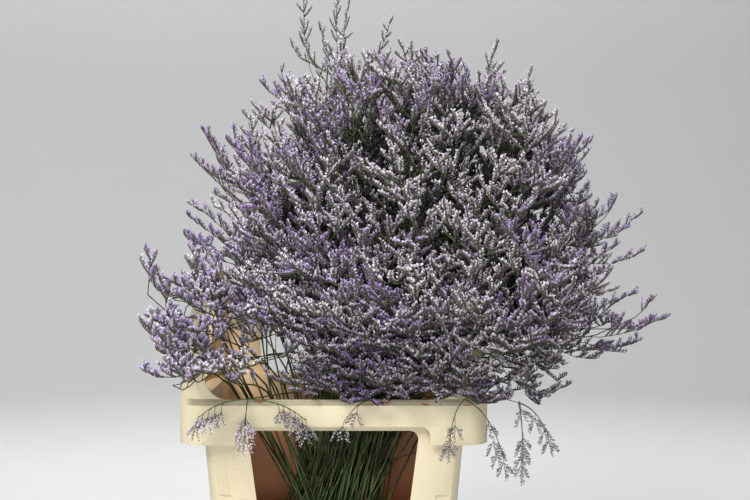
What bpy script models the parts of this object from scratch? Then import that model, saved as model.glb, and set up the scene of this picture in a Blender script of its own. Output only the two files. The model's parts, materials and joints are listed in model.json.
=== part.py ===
"""A bunch of dried statice standing in a cream flower crate: a bucket with a collar on it, open in front.

Metres, +Z up. The origin is the middle of the bucket's foot, and the crate's long front faces -Y.
"""
import math
import random

import bmesh
import bpy
from mathutils import Matrix, Vector

# The crate's driving sizes
RIM_LENGTH = 0.400
RIM_DEPTH = 0.300
RIM_HEIGHT = 0.360
ARCH_HEIGHT = 0.522
SEAT_HEIGHT = 0.165
WALL = 0.004
GAP = 0.0003
BAND_HEIGHT = 0.056
BAND_OVERHANG = Vector((0.026, 0.014))
COLLAR_FOOT = Vector((0.157, 0.124))
BUCKET_FOOT = Vector((0.134, 0.100))
ARCH_LEAN = Vector((0.016, 0.024))
FLANGE = 0.010
LIP_HEIGHT = 0.007
BEAD = 0.002
CORNER = 0.024
BAND_CORNER = 0.034
ARCH_CORNER = 0.032
SEAT_PLAY = 0.003
MOUTH_PLAY = 0.001
CUT_REACH = 0.03

# The collar's front window and hand holes
WINDOW_TOP = 0.320
WINDOW_FOOT = 0.195
WINDOW_HALF_TOP = 0.111
WINDOW_HALF_FOOT = 0.095
WINDOW_CORNER = 0.013
NOTCH_HALF = 0.124
NOTCH_TOP = 0.3275
NOTCH_CORNER = 0.012
HAND_HALF = 0.075
HAND_FOOT = 0.367
HAND_TOP = 0.504
HAND_CORNER = 0.020
FRONT_LEG = 0.020
BACK_LEG = 0.060
LEG_FLARE = 0.030
LONG_CUT_HALF = 0.060

# The flower crown, an eggy dome over the rim, and the hub that its stems fan out from
LEAN_START = -0.030
LEAN = 0.21
HUB_HEIGHT = 0.420
CROWN_CENTRE = Vector((0.120, 0.0, 0.565))
CROWN_HALF = Vector((0.290, 0.255, 0.300))
CROWN_DROP = 0.235
CROWN_ROUNDNESS = 2.5
CROWN_FLOOR = 0.378

# The stems, from the bucket's floor through the neck to the fan, with their radii from foot to tip
STEM_RADIUS = 0.0021
HEAD_STEM = (0.0021, 0.0020, 0.0018, 0.0017, 0.0015)
LOOSE_STEM = (0.0021, 0.0020, 0.0018, 0.0016, 0.0009)
HANGING_STEM = (0.0021, 0.0020, 0.0016, 0.0014, 0.0014, 0.0012, 0.0008)
FLOOR_SPREAD = 0.076
NECK_SPREAD = 0.056
KNEE_SPREAD = 0.064
NECK_HEIGHT = 0.270
KNEE_HEIGHT = 0.365
FAN_RADIUS = 0.110
WIDEST_POLAR = math.radians(90)

# Rings of crown sprays: angle from upright, how many, and the first one's azimuth
RINGS = ((18, 5, 28), (37, 9, 8), (56, 13, 3), (75, 15, 12), (92, 12, 20))

# Tips of the long loose sprays that reach past the crown
LOOSE_TIPS = {
    "spray_peak": (-0.013, -0.020, 0.915),
    "spray_left_shoulder": (-0.185, -0.020, 0.705),
    "spray_left_arm": (-0.219, 0.010, 0.580),
    "spray_wing_high": (-0.222, -0.212, 0.500),
    "spray_wing_low": (-0.178, -0.262, 0.418),
    "spray_right_shoulder": (0.380, -0.020, 0.737),
    "spray_right_arm": (0.466, 0.010, 0.610),
    "spray_right_low": (0.448, -0.040, 0.452),
}
HEAD_CROWDING = math.radians(14)
LOOSE_CROWDING = math.radians(8.5)

# Sprays that hang over the front rim: where they cross it in degrees, their span of X and their arms' ends
HANGING = {
    "spray_hanging_left": (-137, (-0.260, 0.004), ((-0.165, -0.182, 0.330), (-0.100, -0.176, 0.316),
                                                   (-0.026, -0.170, 0.326))),
    "spray_hanging_front": (-92, (0.006, 0.075), ((0.036, -0.174, 0.328),)),
    "spray_hanging_right": (-65, (0.078, 0.360), ((0.235, -0.190, 0.240), (0.302, -0.176, 0.292),
                                                  (0.148, -0.182, 0.312))),
}
HANGING_SPREAD = 1.22
HANGING_BRANCH = 0.046
HANGING_SAG = 0.55

# The flower spikes, larger than life where they cover the crown
SPIKE_LENGTH = 0.050
SPIKE_WIDTH = 0.0105
HEAD_PLACE = 0.75
HEAD_FULLNESS = 1.80
CORE_SHARE = 0.31
LOOSE_BRANCHES = 5
HANGING_BRANCHES = 2
FIRST_BRANCH = 0.30
LAST_BRANCH = 0.93
BRANCH_RADIUS = 0.0012
CLEARANCE = 0.0012
GOLDEN_ANGLE = math.pi * (3 - math.sqrt(5))
SEED = 41

CREAM = (0.80, 0.71, 0.50)
LILAC = (0.47, 0.39, 0.64)
PALE_LILAC = (0.66, 0.63, 0.75)


def remove_everything():
    for item in list(bpy.data.objects):
        bpy.data.objects.remove(item, do_unlink=True)


def new_collection(name):
    group = bpy.data.collections.new(name)
    bpy.context.scene.collection.children.link(group)
    return group


def new_material(name, colour, roughness):
    material = bpy.data.materials.new(name)
    material.use_nodes = True
    shader = material.node_tree.nodes["Principled BSDF"]
    shader.inputs["Base Color"].default_value = (*colour, 1.0)
    shader.inputs["Roughness"].default_value = roughness
    shader.inputs["Metallic"].default_value = 0.0
    return material


def new_object(name, mesh, group, material=None):
    item = bpy.data.objects.new(name, mesh)
    group.objects.link(item)
    if material:
        mesh.materials.append(material)
    if group.name.startswith("tools"):
        item.hide_render = True
        item.display_type = "WIRE"
    return item


def mesh_from(form, name):
    mesh = bpy.data.meshes.new(name)
    form.to_mesh(mesh)
    form.free()
    return mesh


def block(name, group, low_half, high_half, low, high, corner, along="Z", centre=(0.0, 0.0), segments=3):
    """A box whose foot and top may differ in size, with the edges that run along one axis rounded."""
    form = bmesh.new()
    bmesh.ops.create_cube(form, size=2)
    for vertex in form.verts:
        half = high_half if vertex.co.z > 0 else low_half
        vertex.co.x = vertex.co.x * half[0] + centre[0]
        vertex.co.y = vertex.co.y * half[1] + centre[1]
        vertex.co.z = high if vertex.co.z > 0 else low
    if corner:
        axis = "XYZ".index(along)
        rounded = []
        for edge in form.edges:
            run = edge.verts[1].co - edge.verts[0].co
            if max(range(3), key=lambda i: abs(run[i])) == axis:
                rounded.append(edge)
        bmesh.ops.bevel(form, geom=rounded, offset=corner, segments=segments, profile=0.5, affect="EDGES")
    return new_object(name, mesh_from(form, name), group)


def boolean(target, operation, tool, solver="EXACT"):
    step = target.modifiers.new(operation.title(), "BOOLEAN")
    step.operation = operation
    step.solver = solver
    if isinstance(tool, bpy.types.Collection):
        step.operand_type = "COLLECTION"
        step.collection = tool
    else:
        step.object = tool


def build_bucket(parts, cream):
    """The lower tub, with a flange round its mouth and a seat that the collar stands on."""
    seat = COLLAR_FOOT + Vector((SEAT_PLAY, SEAT_PLAY))
    mouth = COLLAR_FOOT - Vector((MOUTH_PLAY, MOUTH_PLAY))
    lip = seat + Vector((FLANGE, FLANGE)) * 0.6
    tools = new_collection("tools bucket")
    bucket = block("bucket", parts, BUCKET_FOOT, mouth, 0.0, SEAT_HEIGHT, CORNER)
    bucket.data.materials.append(cream)
    flange = block("flange", new_collection("tools flange"), lip, lip, SEAT_HEIGHT - 0.015,
                   SEAT_HEIGHT + LIP_HEIGHT, CORNER)
    inner_foot = BUCKET_FOOT - Vector((WALL, WALL))
    inner_mouth = mouth - Vector((WALL, WALL))
    block("hollow", tools, inner_foot, inner_mouth, WALL, SEAT_HEIGHT + 0.02, CORNER - WALL)
    block("seat", tools, seat, seat, SEAT_HEIGHT, SEAT_HEIGHT + 0.02, CORNER - WALL)
    boolean(bucket, "UNION", flange)
    boolean(bucket, "DIFFERENCE", tools)
    return bucket


def build_collar(parts, cream):
    """The upper frame: tapered walls with a front window, a deep rim band and two leaning arches."""
    rim = Vector((RIM_LENGTH, RIM_DEPTH)) / 2
    wall_top = rim - BAND_OVERHANG
    inset = Vector((WALL, WALL))
    adds = new_collection("tools collar adds")
    cuts = new_collection("tools collar cuts")
    collar = block("collar", parts, rim, rim, RIM_HEIGHT - BAND_HEIGHT, RIM_HEIGHT, BAND_CORNER,
                   segments=4)
    collar.data.materials.append(cream)
    skirt = block("skirt_hollow", new_collection("tools skirt"), rim - inset, rim - inset,
                  RIM_HEIGHT - BAND_HEIGHT - CUT_REACH, RIM_HEIGHT - WALL, BAND_CORNER - WALL, segments=4)
    block("wall", adds, COLLAR_FOOT, wall_top, SEAT_HEIGHT + GAP, RIM_HEIGHT - WALL / 2, CORNER)
    arch_foot = rim - Vector((MOUTH_PLAY, MOUTH_PLAY))
    arch_top = rim - ARCH_LEAN
    block("arches", adds, arch_foot, arch_top, RIM_HEIGHT - WALL * 0.7, ARCH_HEIGHT, ARCH_CORNER, segments=4)

    slope = (wall_top - COLLAR_FOOT) / (RIM_HEIGHT - SEAT_HEIGHT)
    block("wall_hollow", cuts, COLLAR_FOOT - inset - slope * CUT_REACH, wall_top - inset + slope * CUT_REACH,
          SEAT_HEIGHT - CUT_REACH, RIM_HEIGHT + CUT_REACH, CORNER - WALL)
    lean = (arch_top - arch_foot) / (ARCH_HEIGHT - RIM_HEIGHT)
    block("arch_hollow", cuts, arch_foot - inset, arch_top - inset + lean * CUT_REACH,
          RIM_HEIGHT + BEAD / 4, ARCH_HEIGHT + CUT_REACH, ARCH_CORNER - WALL, segments=4)
    block("window", cuts, (WINDOW_HALF_FOOT, rim.y / 2), (WINDOW_HALF_TOP, rim.y / 2),
          WINDOW_FOOT, WINDOW_TOP, WINDOW_CORNER, along="Y", centre=(0.0, -rim.y))
    notch_in, notch_out = wall_top.y + WALL * 0.85, rim.y + BEAD
    notch = (NOTCH_HALF, (notch_out - notch_in) / 2)
    block("notch", cuts, notch, notch, RIM_HEIGHT - BAND_HEIGHT - CUT_REACH, NOTCH_TOP, NOTCH_CORNER,
          along="Y", centre=(0.0, -(notch_in + notch_out) / 2))
    for side in (-1, 1):
        leg = FRONT_LEG if side < 0 else BACK_LEG
        above = (rim.x - ARCH_LEAN.x - leg, LONG_CUT_HALF)
        block(f"long_side_{side}", cuts, above, above, RIM_HEIGHT + BEAD, ARCH_HEIGHT + LONG_CUT_HALF,
              LEG_FLARE, along="Y", centre=(0.0, side * (rim.y - ARCH_LEAN.y / 2)), segments=4)
    hand = (RIM_LENGTH, HAND_HALF)
    block("hand_holes", cuts, hand, hand, HAND_FOOT, HAND_TOP, HAND_CORNER, along="X", segments=4)

    boolean(collar, "DIFFERENCE", skirt)
    boolean(collar, "UNION", adds)
    boolean(collar, "DIFFERENCE", cuts)
    return collar


def hub():
    return Vector((LEAN_START + LEAN * HUB_HEIGHT, 0.0, HUB_HEIGHT))


def heading(polar, azimuth):
    return Vector((math.sin(polar) * math.cos(azimuth), math.sin(polar) * math.sin(azimuth), math.cos(polar)))


def crown_reach(way):
    """How far the crown's outline lies from the hub along a direction."""
    near, far = 0.05, 0.80
    while far - near > 0.0005:
        middle = (near + far) / 2
        offset = hub() + way * middle - CROWN_CENTRE
        tall = CROWN_HALF.z if offset.z > 0 else CROWN_DROP
        level = sum(abs(part / half) ** CROWN_ROUNDNESS
                    for part, half in zip(offset, (CROWN_HALF.x, CROWN_HALF.y, tall)))
        if level < 1:
            near = middle
        else:
            far = middle
    return near


def arch_boxes():
    """Boxes round the arches' posts and top bars, which stems and flowers keep out of."""
    low, high = RIM_HEIGHT, ARCH_HEIGHT + 0.004
    outer_x, outer_y = RIM_LENGTH / 2 + 0.002, RIM_DEPTH / 2 + 0.002
    inner_x = RIM_LENGTH / 2 - ARCH_LEAN.x - WALL - 0.004
    leg_y = RIM_DEPTH / 2 - ARCH_LEAN.y - WALL - 0.004
    boxes = []
    for side in (-1, 1):
        across = sorted((side * inner_x, side * outer_x))
        boxes.append((Vector((across[0], -outer_y, HAND_TOP - 0.003)), Vector((across[1], outer_y, high))))
        for depth in (-1, 1):
            deep = sorted((depth * (HAND_HALF - 0.004), depth * outer_y))
            boxes.append((Vector((across[0], deep[0], low)), Vector((across[1], deep[1], high))))
        leg = sorted((side * (inner_x - BACK_LEG), side * outer_x))
        boxes.append((Vector((leg[0], leg_y, low)), Vector((leg[1], outer_y, high))))
    return boxes


def rim_box():
    half = Vector((RIM_LENGTH, RIM_DEPTH)) / 2
    return Vector((-half.x, -half.y, 0.0)), Vector((half.x, half.y, RIM_HEIGHT + BEAD))


def meets(start, end, boxes, margin):
    """Whether a straight limb comes within a margin of any box."""
    samples = max(3, int((end - start).length / 0.006))
    for step in range(samples + 1):
        point = start.lerp(end, step / samples)
        for low, high in boxes:
            if all(low[i] - margin < point[i] < high[i] + margin for i in range(3)):
                return True
    return False


def crown_directions():
    """Every fan spray's name, direction and reach: the loose ones first, then the rings round them."""
    fan = []
    for name, tip in LOOSE_TIPS.items():
        offset = Vector(tip) - hub()
        fan.append((name, offset.normalized(), offset.length, True))
    boxes = arch_boxes()
    number = 0
    for polar_degrees, count, first in RINGS:
        for place in range(count):
            azimuth = math.radians(first) + place * math.tau / count
            for nudge in (0, 3, -3, 6, -6, 9, -9, 12, -12, 15, -15):
                way = heading(math.radians(polar_degrees), azimuth + math.radians(nudge))
                reach = crown_reach(way)
                if not meets(hub() + way * FAN_RADIUS, hub() + way * reach, boxes, 0.010):
                    break
            else:
                continue
            if any(way.angle(other[1]) < (LOOSE_CROWDING if other[3] else HEAD_CROWDING) for other in fan):
                continue
            number += 1
            fan.append((f"spray_{number:02d}", way, reach, False))
    return fan


def cell_planes(way, fan):
    """Planes that keep a spray inside its own cone of the fan and above the rim, as normals and limits."""
    planes = [(Vector((0.0, 0.0, -1.0)), -CROWN_FLOOR)]
    for other in fan:
        if other[1] is not way:
            normal = (other[1] - way).normalized()
            planes.append((normal, normal.dot(hub()) - CLEARANCE))
    return planes


def kept_inside(root, tip, planes, margin):
    """The point nearest the tip, on the line from the root, that stays inside the planes, or None."""
    share = 1.0
    for normal, limit in planes:
        spare = limit - margin - normal.dot(root)
        rise = normal.dot(tip - root)
        if spare < 0:
            return None
        if rise > spare:
            share = min(share, spare / rise)
    return root.lerp(tip, share)


def turned(start, end, spin=0.0):
    """A matrix that stands on a point and turns +Z towards another."""
    quaternion = (end - start).to_track_quat("Z", "Y")
    return Matrix.Translation(start) @ quaternion.to_matrix().to_4x4() @ Matrix.Rotation(spin, 4, "Z")


def spike(start, end, width, group, spin):
    """One flower spike: a three-sided spindle between two points."""
    form = bmesh.new()
    length = (end - start).length
    shape = Matrix.Translation((0, 0, length / 2)) @ Matrix.Diagonal((width / 2, width / 2, length / 2, 1))
    place = turned(start, end, spin) @ shape
    bmesh.ops.create_uvsphere(form, u_segments=3, v_segments=2, radius=1, matrix=place)
    new_object("spike", mesh_from(form, "spike"), group)


def branch(start, end, group, spin):
    """One thin side branch: a three-sided stick that tapers a little."""
    form = bmesh.new()
    length = (end - start).length
    place = turned(start, end, spin) @ Matrix.Translation((0, 0, length / 2))
    bmesh.ops.create_cone(form, cap_ends=True, segments=3, radius1=BRANCH_RADIUS * 1.25,
                          radius2=BRANCH_RADIUS, depth=length, matrix=place)
    new_object("branch", mesh_from(form, "branch"), group)


def bristling_core(middle, way, across, along, reaches, group):
    """A head's small faceted core, each of whose faces is drawn out into a flower spike."""
    form = bmesh.new()
    shape = turned(middle, middle + way) @ Matrix.Diagonal((across, across, along, 1))
    bmesh.ops.create_icosphere(form, subdivisions=2, radius=1, matrix=shape)
    tips = bmesh.ops.poke(form, faces=form.faces, offset=0.0, center_mode="MEAN")["verts"]
    for tip in tips:
        ray = (tip.co - middle).normalized()
        tip.co = middle + ray * max((tip.co - middle).length, reaches(ray))
    new_object("core", mesh_from(form, "core"), group)


def stem(name, points, radii, parts, material):
    """A main stem: a four-sided tube along a path, with its slanted foot just clear of the floor."""
    tilt = (points[1] - points[0]).angle(Vector((0.0, 0.0, 1.0)))
    points[0].z += radii[0] * math.sin(tilt)
    path = bpy.data.curves.new(name, "CURVE")
    path.dimensions = "3D"
    path.bevel_depth = STEM_RADIUS
    path.bevel_resolution = 0
    path.use_fill_caps = True
    spline = path.splines.new("POLY")
    spline.points.add(len(points) - 1)
    for place, point, radius in zip(spline.points, points, radii):
        place.co = (*point, 1.0)
        place.radius = radius / STEM_RADIUS
    guide = bpy.data.objects.new(name + "_path", path)
    parts.objects.link(guide)
    graph = bpy.context.evaluated_depsgraph_get()
    mesh = bpy.data.meshes.new_from_object(guide.evaluated_get(graph))
    bpy.data.objects.remove(guide)
    form = bmesh.new()
    form.from_mesh(mesh)
    bmesh.ops.remove_doubles(form, verts=form.verts, dist=0.00002)
    form.to_mesh(mesh)
    form.free()
    mesh.materials.clear()
    return new_object(name, mesh, parts, material)


def fuse(item, group):
    """Joins a spray's stem with its repeats in one union, then removes the repeats."""
    boolean(item, "UNION", group, "MANIFOLD")
    graph = bpy.context.evaluated_depsgraph_get()
    joined = bpy.data.meshes.new_from_object(item.evaluated_get(graph))
    item.modifiers.clear()
    item.data = joined
    for tool in list(group.objects):
        bpy.data.objects.remove(tool, do_unlink=True)
    bpy.data.collections.remove(group)
    drop_scraps(item.data)


def drop_scraps(mesh):
    """Keeps a mesh's largest body, and drops loose scraps and the insides that fusing seals."""
    form = bmesh.new()
    form.from_mesh(mesh)
    bodies = []
    left = set(form.verts)
    while left:
        body, edge = set(), [left.pop()]
        while edge:
            vertex = edge.pop()
            body.add(vertex)
            for link in vertex.link_edges:
                other = link.other_vert(vertex)
                if other in left:
                    left.discard(other)
                    edge.append(other)
        bodies.append(body)
    bodies.sort(key=len, reverse=True)
    bmesh.ops.delete(form, geom=[vertex for body in bodies[1:] for vertex in body], context="VERTS")
    form.to_mesh(mesh)
    form.free()


def stem_foot(share, azimuth):
    """The three lowest points of a stem: on the bucket's floor, at the neck, and at the knee."""
    outward = Vector((math.cos(azimuth), math.sin(azimuth), 0.0))
    heights = (WALL + GAP, NECK_HEIGHT, KNEE_HEIGHT)
    spreads = (FLOOR_SPREAD, NECK_SPREAD, KNEE_SPREAD)
    return [Vector((LEAN_START + LEAN * height, 0.0, height)) + outward * spread * share
            for height, spread in zip(heights, spreads)]


def fan_stem(way, end):
    """A stem's path from the floor to a point on its own ray of the fan."""
    polar = way.angle(Vector((0.0, 0.0, 1.0)))
    azimuth = math.atan2(way.y, way.x)
    share = math.sqrt((1 - math.cos(polar)) / (1 - math.cos(WIDEST_POLAR)))
    floor, neck, knee = stem_foot(share, azimuth)
    fan = hub() + way * FAN_RADIUS
    bend = neck * 0.25 + knee * 0.5 + fan * 0.25
    return [floor, neck, bend, fan, end]


def cone_half_angle(way, fan):
    return min(way.angle(other[1]) for other in fan if other[1] is not way) / 2


def sideways(way, turn):
    """A unit vector square to a direction, turned round it."""
    across = way.orthogonal().normalized()
    return Matrix.Rotation(turn, 3, way) @ across


def build_head(name, way, reach, fan, parts, material, draw):
    """A crown spray: its stem runs into a small faceted core, and flower spikes bristle out all round."""
    planes = cell_planes(way, fan)
    boxes = arch_boxes()
    middle = hub() + way * reach * HEAD_PLACE
    upward = reach * (1 - HEAD_PLACE)
    heads = [other for other in fan if not other[3]]
    outward = reach * HEAD_PLACE * math.tan(cone_half_angle(way, heads)) * HEAD_FULLNESS
    room = min(limit - normal.dot(middle) for normal, limit in planes)
    size = min(CORE_SHARE * min(upward, outward), room - CLEARANCE)

    def spike_reach(ray):
        rise = ray.dot(way)
        long = math.hypot((upward if rise > 0 else outward * 0.7) * rise, outward * math.sqrt(1 - rise ** 2))
        tip = kept_inside(middle, middle + ray * long * draw.uniform(0.66, 1.08), planes, CLEARANCE)
        while meets(middle, tip, boxes, 0.004) and (tip - middle).length > size:
            tip = middle.lerp(tip, 0.9)
        return (tip - middle).length

    item = stem(name, fan_stem(way, middle), HEAD_STEM, parts, material)
    group = new_collection("tools " + name)
    bristling_core(middle, way, size, size, spike_reach, group)
    fuse(item, group)
    return item


def build_panicle(axis, planes, boxes, group, draw, spread, sag, branches):
    """Side branches with flower spikes along an open path, which leave it in turn all round."""
    length = sum((b - a).length for a, b in zip(axis, axis[1:]))
    turn = draw.uniform(0, math.tau)
    for number in range(branches):
        share = FIRST_BRANCH + (LAST_BRANCH - FIRST_BRANCH) * number / (branches - 1)
        way, root = path_point(axis, share)
        side = sideways(way, turn + number * GOLDEN_ANGLE)
        out = spread * (1.15 - share * 0.75) * draw.uniform(0.85, 1.1)
        end = root + side * out + way * out * 0.9 - Vector((0, 0, sag * out))
        end = kept_inside(root, end, planes, SPIKE_WIDTH / 2)
        if end is None or (end - root).length < 0.018 or meets(root, end, boxes, 0.004):
            continue
        branch(root, end, group, draw.uniform(0, 6))
        run = (end - root).normalized()
        for back, lift in ((0.0, 0.0), (0.45, 0.6)):
            start = end.lerp(root, back) - run * 0.004
            bent = (run + sideways(run, turn + number) * lift + Vector((0, 0, 0.25 - sag * 0.5))).normalized()
            tip = kept_inside(start, start + bent * SPIKE_LENGTH * draw.uniform(0.75, 1.0), planes, 0.003)
            if tip is None or (tip - start).length < 0.012 or meets(start, tip, boxes, 0.005):
                continue
            spike(start, tip, SPIKE_WIDTH * draw.uniform(0.75, 0.95), group, draw.uniform(0, 6))
    way, start = path_point(axis, 1.0 - SPIKE_LENGTH * 0.8 / length)
    spike(start, axis[-1], SPIKE_WIDTH * 0.85, group, draw.uniform(0, 6))


def path_point(points, share):
    """The direction and place at a share of a path's length."""
    lengths = [(b - a).length for a, b in zip(points, points[1:])]
    left = share * sum(lengths)
    for start, end, length in zip(points, points[1:], lengths):
        if left <= length:
            break
        left -= length
    return (end - start).normalized(), start.lerp(end, min(1.0, left / length))


def build_loose(name, way, reach, fan, parts, material, draw):
    """A long open spray with no core, which reaches past the crown."""
    end = hub() + way * reach
    stop = hub() + way * (reach - SPIKE_LENGTH * 0.4)
    item = stem(name, fan_stem(way, stop), LOOSE_STEM, parts, material)
    group = new_collection("tools " + name)
    spread = reach * math.tan(cone_half_angle(way, fan)) * 1.35
    axis = [hub() + way * FAN_RADIUS, end]
    limits = cell_planes(way, fan) + [(way, way.dot(end))]
    build_panicle(axis, limits, arch_boxes(), group, draw, spread, 0.0, LOOSE_BRANCHES)
    fuse(item, group)
    return item


def rim_crossing(azimuth):
    """How far out a stem at an azimuth passes the rim's outer edge."""
    origin = hub()
    outward = Vector((math.cos(azimuth), math.sin(azimuth)))
    reach_x = (math.copysign(RIM_LENGTH / 2, outward.x) - origin.x) / outward.x if outward.x else 9.0
    reach_y = (math.copysign(RIM_DEPTH / 2, outward.y) - origin.y) / outward.y if outward.y else 9.0
    return min(reach_x, reach_y)


def build_hanging(name, azimuth_degrees, span, arms, parts, material, draw):
    """A spray that leans out over the rim and hangs down outside it, in one arm or several."""
    azimuth = math.radians(azimuth_degrees)
    outward = Vector((math.cos(azimuth), math.sin(azimuth), 0.0))
    floor, neck, knee = stem_foot(HANGING_SPREAD, azimuth)
    over = RIM_HEIGHT + BEAD + HANGING_STEM[4] + GAP
    base = Vector((hub().x, 0.0, 0.0))
    edge = rim_crossing(azimuth)
    inside = base + outward * (edge - 0.028) + Vector((0, 0, over + 0.001))
    across = base + outward * (edge + 0.006) + Vector((0, 0, over))
    group = new_collection("tools " + name)
    limits = [(Vector((0.0, 0.0, 1.0)), over + 0.004), (Vector((1.0, 0.0, 0.0)), span[1]),
              (Vector((-1.0, 0.0, 0.0)), -span[0])]
    boxes = [rim_box()] + arch_boxes()
    for number, arm in enumerate(arms):
        end = Vector(arm)
        shoulder = across.lerp(end, 0.4) + Vector((0, 0, (across.z - end.z) * 0.28))
        if number == 0:
            path = [floor, neck, knee, inside, across, shoulder, end]
            item = stem(name, path, HANGING_STEM, parts, material)
        else:
            start = across - outward * 0.002
            branch(start, shoulder + (shoulder - start).normalized() * 0.001, group, number)
            branch(shoulder, end, group, number + 1)
        build_panicle([across, shoulder, end], limits, boxes, group, draw, HANGING_BRANCH, HANGING_SAG,
                      HANGING_BRANCHES)
    fuse(item, group)
    return item


def build_statice():
    remove_everything()
    parts = new_collection("statice in a crate")
    cream = new_material("cream plastic", CREAM, 0.45)
    lilac = new_material("lilac flowers", LILAC, 0.85)
    pale = new_material("pale flowers", PALE_LILAC, 0.85)
    fan = crown_directions()
    for number, (name, way, reach, loose) in enumerate(fan):
        draw = random.Random(SEED + number)
        build = build_loose if loose else build_head
        build(name, way, reach, fan, parts, lilac if loose or number % 3 == 0 else pale, draw)
    for number, (name, (azimuth, span, arms)) in enumerate(HANGING.items()):
        build_hanging(name, azimuth, span, arms, parts, lilac, random.Random(SEED * 7 + number))
    build_bucket(parts, cream)
    build_collar(parts, cream)


build_statice()
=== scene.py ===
"""Dried statice standing in a cream flower crate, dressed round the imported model.

Metres, +Z up. The crate's long front faces -Y, and the origin is the middle of the bucket's foot.
"""
import json
import math
import random

import bmesh
import bpy
from mathutils import Matrix, Vector
from mathutils.bvhtree import BVHTree

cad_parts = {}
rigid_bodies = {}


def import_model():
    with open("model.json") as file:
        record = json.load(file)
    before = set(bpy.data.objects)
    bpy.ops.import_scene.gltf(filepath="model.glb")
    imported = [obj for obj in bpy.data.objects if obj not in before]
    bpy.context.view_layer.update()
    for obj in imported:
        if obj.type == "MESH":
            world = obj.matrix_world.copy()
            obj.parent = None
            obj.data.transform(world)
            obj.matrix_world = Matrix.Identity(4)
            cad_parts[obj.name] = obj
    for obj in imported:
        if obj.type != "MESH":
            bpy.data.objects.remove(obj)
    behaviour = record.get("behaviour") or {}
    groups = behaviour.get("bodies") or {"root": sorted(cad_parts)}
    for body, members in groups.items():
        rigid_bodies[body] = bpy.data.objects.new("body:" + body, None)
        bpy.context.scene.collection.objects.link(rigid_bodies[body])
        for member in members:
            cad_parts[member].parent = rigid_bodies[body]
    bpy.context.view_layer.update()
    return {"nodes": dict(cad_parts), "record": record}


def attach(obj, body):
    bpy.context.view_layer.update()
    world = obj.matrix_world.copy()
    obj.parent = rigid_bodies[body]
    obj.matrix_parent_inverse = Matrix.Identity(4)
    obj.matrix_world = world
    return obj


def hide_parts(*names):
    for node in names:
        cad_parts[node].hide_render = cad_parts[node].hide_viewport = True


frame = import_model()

# The studio
# A pale floor that sweeps up all round into a grey wall, under large soft lights.
# The camera is level and looks straight at the crate's long front, as in the photograph.


class Wire:
    """A shader socket. Arithmetic on wires adds Math nodes, and node() adds any other kind."""

    def __init__(self, tree, socket=None):
        self.tree, self.socket = tree, socket

    def node(self, kind, settings=None, sockets=None, out=0):
        made = self.tree.nodes.new("ShaderNode" + kind)
        for name, value in (settings or {}).items():
            if name == "stops":
                ramp = made.color_ramp
                while len(ramp.elements) < len(value):
                    ramp.elements.new(0.5)
                for stop, (place, colour) in zip(ramp.elements, value):
                    stop.position = place
                    stop.color = (*colour, 1.0) if len(colour) == 3 else colour
            else:
                setattr(made, name, value)
        for name, value in (sockets or {}).items():
            if isinstance(value, Wire):
                self.tree.links.new(value.socket, made.inputs[name])
            else:
                made.inputs[name].default_value = value
        return Wire(self.tree, made.outputs[out])

    def math(self, operation, *others, clamp=False):
        terms = {number: other for number, other in enumerate((self, *others))}
        return self.node("Math", {"operation": operation, "use_clamp": clamp}, terms)

    def __add__(self, other):
        return self.math("ADD", other)

    def __sub__(self, other):
        return self.math("SUBTRACT", other)

    def __mul__(self, other):
        return self.math("MULTIPLY", other)

    def __rsub__(self, other):
        return (self * -1) + other

    __radd__, __rmul__ = __add__, __mul__

    def step(self, low, high):
        """A smooth ramp from 0 at low to 1 at high."""
        return self.node("MapRange", {"interpolation_type": "SMOOTHSTEP"},
                         {"Value": self, "From Min": low, "From Max": high})

    def mix(self, low, high):
        """A blend of two colours, by this wire."""
        low, high = (end if isinstance(end, Wire) else (*end, 1.0) for end in (low, high))
        return self.node("Mix", {"data_type": "RGBA"}, {0: self, 6: low, 7: high}, out=2)


def new_finish(name, **constants):
    """A material with its shader's constants set, and the tools to draw its patterns."""
    finish = bpy.data.materials.new(name)
    finish.use_nodes = True
    tree = finish.node_tree
    shader = tree.nodes["Principled BSDF"]
    for socket, value in constants.items():
        shader.inputs[socket.replace("_", " ")].default_value = value
    board = Wire(tree)
    place = board.node("TexCoord", out=3)
    return finish, shader, board, place


def plug(shader, socket, wire):
    wire.tree.links.new(wire.socket, shader.inputs[socket])


def noise(board, place, scale, detail=3.0, rough=0.55, stretch=None):
    """Noise in object space, about 0.5 on average; stretch scales the pattern along each axis."""
    if stretch:
        place = board.node("Mapping", None, {"Vector": place, "Scale": stretch})
    grain = {"Vector": place, "Scale": scale, "Detail": detail, "Roughness": rough}
    return board.node("TexNoise", None, grain)


ROOM_RADIUS = 4.3
SWEEP_RADIUS = 1.5
ROOM_HEIGHT = 4.0
SWEEP_STEPS = 12
ROOM_STEPS = 72
FLOOR_GREY = (0.600, 0.600, 0.597)
FLOOR_SHADE = 0.985
WORLD_COLOUR = (0.93, 0.96, 1.0, 1.0)
WORLD_STRENGTH = 0.10
CAMERA_PLACE = (0.0537, -1.475, 0.5528)
CAMERA_LENS = 50
CAMERA_SENSOR = 36

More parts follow.
